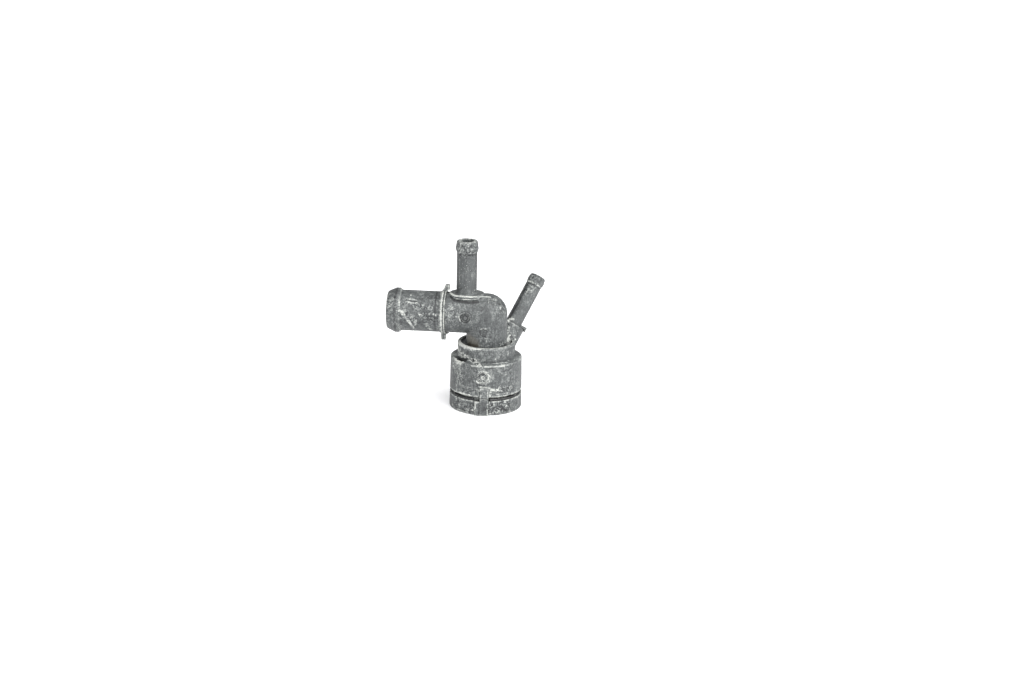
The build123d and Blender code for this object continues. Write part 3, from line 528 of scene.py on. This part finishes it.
bodyPlastics = {stretch: makeBodyPlastic(bodyFinish, stretch) for stretch in stretches}
wireSteel = makeWireSteel(wireFinish)
sealRubber = makeSealRubber(rubberFinish)
driedCoolant = makeDriedCoolant(crustFinish)
print("materials made")

# The moulding: the CAD shape with the small round that every moulded edge has. Lengths in mm, angles
# in degrees
moulding = {"edgeRound": 0.28, "edgeAngle": 32, "segments": 2, "flatAngle": 0.2, "mergeReach": 0.002}


def mouldingMesh(values):
    # a merged copy of the CAD node's triangles, its flat faces joined up
    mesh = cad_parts["flange_body"].data.copy()
    shape = bmesh.new()
    shape.from_mesh(mesh)
    bmesh.ops.remove_doubles(shape, verts=shape.verts, dist=values["mergeReach"] * mm)
    bmesh.ops.dissolve_limit(shape, angle_limit=math.radians(values["flatAngle"]), verts=shape.verts,
                             edges=shape.edges)
    shape.to_mesh(mesh)
    shape.free()
    mesh.materials.clear()
    for plastic in bodyPlastics.values():
        mesh.materials.append(plastic)
    return mesh


def makeMoulding(values):
    mesh = mouldingMesh(values)
    mesh.shade_smooth()
    mesh.set_sharp_from_angle(angle=math.radians(values["edgeAngle"]))
    rough = bpy.data.objects.new("mouldingRough", mesh)
    scene.collection.objects.link(rough)
    edges = rough.modifiers.new("edgeRound", "BEVEL")
    edges.width, edges.segments = values["edgeRound"] * mm, values["segments"]
    edges.limit_method, edges.angle_limit = "ANGLE", math.radians(values["edgeAngle"])
    edges.harden_normals, edges.miter_outer = True, "MITER_ARC"
    piece = bake(rough, "moulding")
    # each face takes the plastic of the first stretch that holds its middle
    for face in piece.data.polygons:
        face.material_index = next(
            index for index, box in enumerate(stretches.values()) if reaches([face.center / mm], 0.001, box))
    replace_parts(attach(piece, "root"), "flange_body")
    print("moulding made,", len(piece.data.polygons), "faces")


makeMoulding(moulding)

# The crust: grains of salt scattered where the residue is most mottled. Sizes in mm
crust = {"grainsPerSquareMm": 0.6, "smallest": 0.12, "largest": 0.38, "flatness": 0.5, "patchSize": 2.4,
         "fromMottle": 0.55, "seed": 11}


def crustTree(values):
    tree, given = newTree("saltGrains", {
        "grainsPerSquareMetre": "Float", "smallest": "Float", "largest": "Float", "flatness": "Float",
        "seed": "Int", "material": "Material"})
    point = addNode(tree, "GeometryNodeInputPosition").outputs[0]
    amount = 0.0
    for run, width, blotch, lift in residueAndPaintedLightMarks:
        if blotch >= values["fromMottle"]:
            amount = addNode(tree, "ShaderNodeMath", {
                0: residueAndPaintedLightAt(tree, point, run, width), 1: amount}, operation="MAXIMUM")
    patches = addNode(tree, "ShaderNodeTexNoise", {
        "Vector": point, "Scale": 1000 / values["patchSize"], "Detail": 3.0})
    broken = addNode(tree, "ShaderNodeMapRange", {"Value": patches, "From Min": 0.46, "From Max": 0.62})
    share = addNode(tree, "ShaderNodeMath", {0: amount, 1: broken}, operation="MULTIPLY")
    density = addNode(tree, "ShaderNodeMath", {0: share, 1: given["grainsPerSquareMetre"]},
                      operation="MULTIPLY")
    spots = addNode(tree, "GeometryNodeDistributePointsOnFaces", {
        "Mesh": given["Geometry"], "Density": density, "Seed": given["seed"]})
    size = addNode(tree, "FunctionNodeRandomValue", {
        "Min": given["smallest"], "Max": given["largest"], "Seed": given["seed"]}, data_type="FLOAT")
    low = addNode(tree, "ShaderNodeMath", {0: size, 1: given["flatness"]}, operation="MULTIPLY")
    scale = addNode(tree, "ShaderNodeCombineXYZ", {0: size, 1: size, 2: low})
    grain = addNode(tree, "GeometryNodeMeshIcoSphere", {"Radius": 1.0, "Subdivisions": 1})
    grains = addNode(tree, "GeometryNodeInstanceOnPoints", {
        "Points": spots.outputs["Points"], "Instance": grain.outputs["Mesh"],
        "Rotation": spots.outputs["Rotation"], "Scale": scale})
    endTree(tree, grains.outputs[0], given["material"])
    return tree


def makeCrust(values):
    holder = bpy.data.objects.new("crustHolder", mouldingMesh(moulding))
    scene.collection.objects.link(holder)
    runTree(holder, crustTree(values), {
        "grainsPerSquareMetre": values["grainsPerSquareMm"] / mm ** 2, "smallest": values["smallest"] * mm,
        "largest": values["largest"] * mm, "flatness": values["flatness"], "seed": values["seed"],
        "material": driedCoolant})
    piece = bake(holder, "driedCrust")
    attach(piece, "root")
    print("crust made,", len(piece.data.polygons), "faces")


makeCrust(crust)

# The wire clip: an open ring with two straight legs, in one length of wire. Sizes in mm, the angle in
# degrees, and how many straight steps stand for each arc
clip = {"wireDiameter": 2.2, "ringRadius": 27.3, "legX": 22.7, "bendRadius": 4.0, "height": 12.65,
        "leftTip": -6.6, "rightTip": 5.2, "tipRound": 0.5, "tipShare": 0.6, "sharpAngle": 50,
        "pointSpacing": 0.5, "sides": 20, "frontSteps": 24, "bendSteps": 8, "backSteps": 60}


def clipPoints(values):
    ring, bend = values["ringRadius"], values["bendRadius"]
    front, turn, back = values["frontSteps"], values["bendSteps"], values["backSteps"]
    bendX = values["legX"] - bend
    bendY = math.sqrt((ring - bend) ** 2 - bendX ** 2)
    corner = math.atan2(bendY, bendX)  # where the ring ends and a bend begins
    points = []

    def arc(cx, cy, radius, start, end, steps):
        points.extend((cx + radius * math.cos(a), cy + radius * math.sin(a))
                      for a in (start + (end - start) * i / steps for i in range(steps + 1)))

    arc(0, 0, ring, -math.acos(values["rightTip"] / ring), -corner, front)
    arc(bendX, -bendY, bend, -corner, 0, turn)
    arc(bendX, bendY, bend, 0, corner, turn)
    arc(0, 0, ring, corner, math.pi - corner, back)
    arc(-bendX, bendY, bend, math.pi - corner, math.pi, turn)
    arc(-bendX, -bendY, bend, math.pi, math.pi + corner, turn)
    arc(0, 0, ring, math.pi + corner, 2 * math.pi - math.acos(values["leftTip"] / ring), front)
    return [Vector((x, y, values["height"])) * mm for x, y in points]


def wireTree():
    tree, given = newTree("wireAlongPath", {
        "wireDiameter": "Float", "tipRound": "Float", "tipShare": "Float", "pointSpacing": "Float",
        "sides": "Int", "material": "Material"})
    wire = addNode(tree, "ShaderNodeMath", {0: given["wireDiameter"], 1: 0.5}, operation="MULTIPLY")
    # the wire is eased in over its last stretch, as a cropped and tumbled end is
    where = addNode(tree, "GeometryNodeSplineParameter").outputs["Length"]
    whole = addNode(tree, "GeometryNodeSplineLength").outputs["Length"]
    back = addNode(tree, "ShaderNodeMath", {0: whole, 1: where}, operation="SUBTRACT")
    near = addNode(tree, "ShaderNodeMath", {0: where, 1: back}, operation="MINIMUM")
    ease = addNode(tree, "ShaderNodeMapRange", {
        "Value": near, "From Max": given["tipRound"], "To Min": given["tipShare"], "To Max": 1.0})
    radius = addNode(tree, "ShaderNodeMath", {0: wire, 1: ease}, operation="MULTIPLY")
    dense = addNode(tree, "GeometryNodeResampleCurve", {
        "Curve": given["Geometry"], "Length": given["pointSpacing"]}, mode="LENGTH")
    profile = addNode(tree, "GeometryNodeCurvePrimitiveCircle", {"Resolution": given["sides"], "Radius": 1.0})
    tube = addNode(tree, "GeometryNodeCurveToMesh", {
        "Curve": dense, "Profile Curve": profile, "Scale": radius, "Fill Caps": True})
    endTree(tree, tube, given["material"])
    return tree


def makeClip(values):
    path = bpy.data.curves.new("clipPath", "CURVE")
    path.dimensions = "3D"
    spline = path.splines.new("POLY")
    points = clipPoints(values)
    spline.points.add(len(points) - 1)
    for knot, place in zip(spline.points, points):
        knot.co = (*place, 1)
    holder = bpy.data.objects.new("clipPath", path)
    scene.collection.objects.link(holder)
    runTree(holder, wireTree(), {
        "wireDiameter": values["wireDiameter"] * mm, "tipRound": values["tipRound"] * mm,
        "tipShare": values["tipShare"], "pointSpacing": values["pointSpacing"] * mm, "sides": values["sides"],
        "material": wireSteel})
    piece = bake(holder, "wireClip")
    piece.data.shade_smooth()
    piece.data.set_sharp_from_angle(angle=math.radians(values["sharpAngle"]))
    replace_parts(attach(piece, "root"), "retaining_clip")


makeClip(clip)
print("wire clip made")

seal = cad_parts["seal_ring"]
seal.data.materials.clear()
seal.data.materials.append(sealRubber)

# Mould dials in the two round marks: a rim, plain ticks and a bare pointer. Sizes in mm, turn in degrees
dials = {
    "socketDial": {"stretch": "Socket", "centre": (0, -27.77, 30.8), "radius": 3.9, "rim": 0.32,
                   "ticks": 12, "tickLength": 0.9, "tickWidth": 0.34, "height": 0.22, "pointer": 1.5,
                   "turn": 25},
    "tubeDial": {"stretch": "Elbow", "centre": (-15.7, -15.1, 74.9), "radius": 3.1, "rim": 0.3,
                 "ticks": 12, "tickLength": 0.7, "tickWidth": 0.26, "height": 0.3, "pointer": 1.3,
                 "turn": -20},
}


def dialTree():
    tree, given = newTree("mouldDial", {
        "radius": "Float", "rim": "Float", "tickLength": "Float", "tickWidth": "Float", "height": "Float",
        "pointer": "Float", "ticks": "Int", "material": "Material"})
    # everything stands up from the mark's floor by the height, the pointer half as much again
    depth = addNode(tree, "ShaderNodeMath", {0: given["height"], 1: 2.0}, operation="MULTIPLY")
    tall = addNode(tree, "ShaderNodeMath", {0: given["height"], 1: 3.0}, operation="MULTIPLY")
    circle = addNode(tree, "GeometryNodeCurvePrimitiveCircle", {"Resolution": 64, "Radius": given["radius"]})
    section = addNode(tree, "GeometryNodeCurvePrimitiveQuadrilateral", {
        "Width": given["rim"], "Height": depth})
    rim = addNode(tree, "GeometryNodeCurveToMesh", {"Curve": circle, "Profile Curve": section})
    inner = addNode(tree, "ShaderNodeMath", {0: given["radius"], 1: given["tickLength"]},
                    operation="SUBTRACT")
    spots = addNode(tree, "GeometryNodeMeshCircle", {"Vertices": given["ticks"], "Radius": inner})
    bar = addNode(tree, "GeometryNodeMeshCube", {"Size": addNode(tree, "ShaderNodeCombineXYZ", {
        0: given["tickLength"], 1: given["tickWidth"], 2: depth})})
    outward = addNode(tree, "FunctionNodeAlignRotationToVector", {
        "Vector": addNode(tree, "GeometryNodeInputPosition")}, axis="X")
    bars = addNode(tree, "GeometryNodeInstanceOnPoints", {
        "Points": spots, "Instance": bar, "Rotation": outward})
    hub = addNode(tree, "GeometryNodeMeshCylinder", {
        "Vertices": 32, "Radius": given["pointer"], "Depth": depth})
    # the pointer is a bar with a three-sided head, both in step with the hub's radius
    stemLength = addNode(tree, "ShaderNodeMath", {0: given["pointer"], 1: 1.3}, operation="MULTIPLY")
    stem = addNode(tree, "GeometryNodeMeshCube", {"Size": addNode(tree, "ShaderNodeCombineXYZ", {
        0: stemLength, 1: given["rim"], 2: tall})})
    headRadius = addNode(tree, "ShaderNodeMath", {0: given["pointer"], 1: 0.4}, operation="MULTIPLY")
    head = addNode(tree, "GeometryNodeMeshCylinder", {"Vertices": 3, "Radius": headRadius, "Depth": tall})
    headPlace = addNode(tree, "ShaderNodeMath", {0: given["pointer"], 1: 0.5}, operation="MULTIPLY")
    placed = addNode(tree, "GeometryNodeTransform", {
        "Geometry": head, "Translation": addNode(tree, "ShaderNodeCombineXYZ", {0: headPlace}),
        "Rotation": (0, 0, -math.pi / 2)})
    joined = addNode(tree, "GeometryNodeJoinGeometry")
    for part in (placed, stem, hub, bars, rim):
        tree.links.new(part.outputs[0], joined.inputs[0])
    endTree(tree, joined, given["material"])
    return tree


def makeDials(dialValues):
    tree = dialTree()
    for name, values in dialValues.items():
        holder = bpy.data.objects.new(name + "Holder", bpy.data.meshes.new(name + "Holder"))
        scene.collection.objects.link(holder)
        sizes = {key: values[key] * mm for key in (
            "radius", "rim", "tickLength", "tickWidth", "height", "pointer")}
        runTree(holder, tree, {
            **sizes, "ticks": values["ticks"], "material": bodyPlastics[values["stretch"]]})
        place = Matrix.Translation(Vector(values["centre"]) * mm) @ Matrix.Rotation(math.pi / 2, 4, "X") @ (
            Matrix.Rotation(math.radians(values["turn"]), 4, "Z"))
        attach(bake(holder, name, place), "root")


makeDials(dials)
print("dials made")

# Floor, light and camera. Places, grain and lens in mm, the floor's reach in metres, angles in degrees.
# The light is one white dome, brighter round a place to the right of the camera and above it, as from a
# very large soft box. The floor glows a little, as a lit product table does, to keep the shadow faint
studio = {"floor": "#F6F6F7", "glow": 0.18, "roughness": 0.6, "grainSize": 2.5, "relief": 0.2,
          "floorReach": 30, "world": "#FFFFFF", "fill": 0.5, "soft": 4.15, "softPower": 3.0,
          "azimuth": -50, "elevation": 45}
shot = {"place": (111.84, -1280.57, 447.34), "pitch": 17.063, "roll": 1.352, "yaw": 4.097,
        "lens": 60.0, "sensor": 36.0}


def makeStudio(values):
    material, tree = newMaterial("paintedFloor")
    point = addNode(tree, "ShaderNodeTexCoord").outputs["Object"]
    grain = addNode(tree, "ShaderNodeTexNoise", {
        "Vector": point, "Scale": 1000 / values["grainSize"], "Detail": 2.0})
    bump = addNode(tree, "ShaderNodeBump", {
        "Strength": 0.05, "Distance": values["relief"] * mm, "Height": grain})
    finishMaterial(tree, {
        "Base Color": linear(values["floor"]), "Roughness": values["roughness"], "Normal": bump,
        "Emission Color": linear(values["floor"]), "Emission Strength": values["glow"]})
    mesh = bpy.data.meshes.new("floor")
    reach = values["floorReach"]
    mesh.from_pydata([(-reach, -reach, 0), (reach, -reach, 0), (reach, reach, 0), (-reach, reach, 0)], [],
                     [(0, 1, 2, 3)])
    mesh.materials.append(material)
    floor = bpy.data.objects.new("floor", mesh)
    scene.collection.objects.link(floor)
    world = bpy.data.worlds.new("studioDome")
    world.use_nodes = True
    tree = world.node_tree
    tree.nodes.clear()
    azimuth, elevation = math.radians(values["azimuth"]), math.radians(values["elevation"])
    towards = (math.cos(azimuth) * math.cos(elevation), math.sin(azimuth) * math.cos(elevation),
               math.sin(elevation))
    facing = addNode(tree, "ShaderNodeVectorMath", {
        0: addNode(tree, "ShaderNodeTexCoord"), 1: towards}, operation="DOT_PRODUCT")
    lit = addNode(tree, "ShaderNodeMath", {0: facing, 1: 0.0}, operation="MAXIMUM")
    narrowed = addNode(tree, "ShaderNodeMath", {0: lit, 1: values["softPower"]}, operation="POWER")
    strength = addNode(tree, "ShaderNodeMath", {
        0: narrowed, 1: values["soft"], 2: values["fill"]}, operation="MULTIPLY_ADD")
    dome = addNode(tree, "ShaderNodeBackground", {"Color": linear(values["world"]), "Strength": strength})
    addNode(tree, "ShaderNodeOutputWorld", {"Surface": dome})
    scene.world = world


def makeCamera(values):
    pitch, roll, yaw = (math.radians(values[key]) for key in ("pitch", "roll", "yaw"))
    ahead = Vector((0, math.cos(pitch), -math.sin(pitch)))
    right = Vector((1, 0, 0))
    up = right.cross(ahead)
    turnedRight = right * math.cos(roll) + up * math.sin(roll)
    turnedUp = up * math.cos(roll) - right * math.sin(roll)
    axes = Matrix((turnedRight, turnedUp, -ahead)).transposed()
    data = bpy.data.cameras.new("photoCamera")
    data.lens, data.sensor_width = values["lens"], values["sensor"]
    camera = bpy.data.objects.new("photoCamera", data)
    camera.matrix_world = Matrix.Translation(Vector(values["place"]) * mm) @ (
        Matrix.Rotation(yaw, 3, "Z") @ axes).to_4x4()
    scene.collection.objects.link(camera)
    scene.camera = camera


makeStudio(studio)
makeCamera(shot)
scene.view_settings.view_transform = "Standard"
print("studio made")
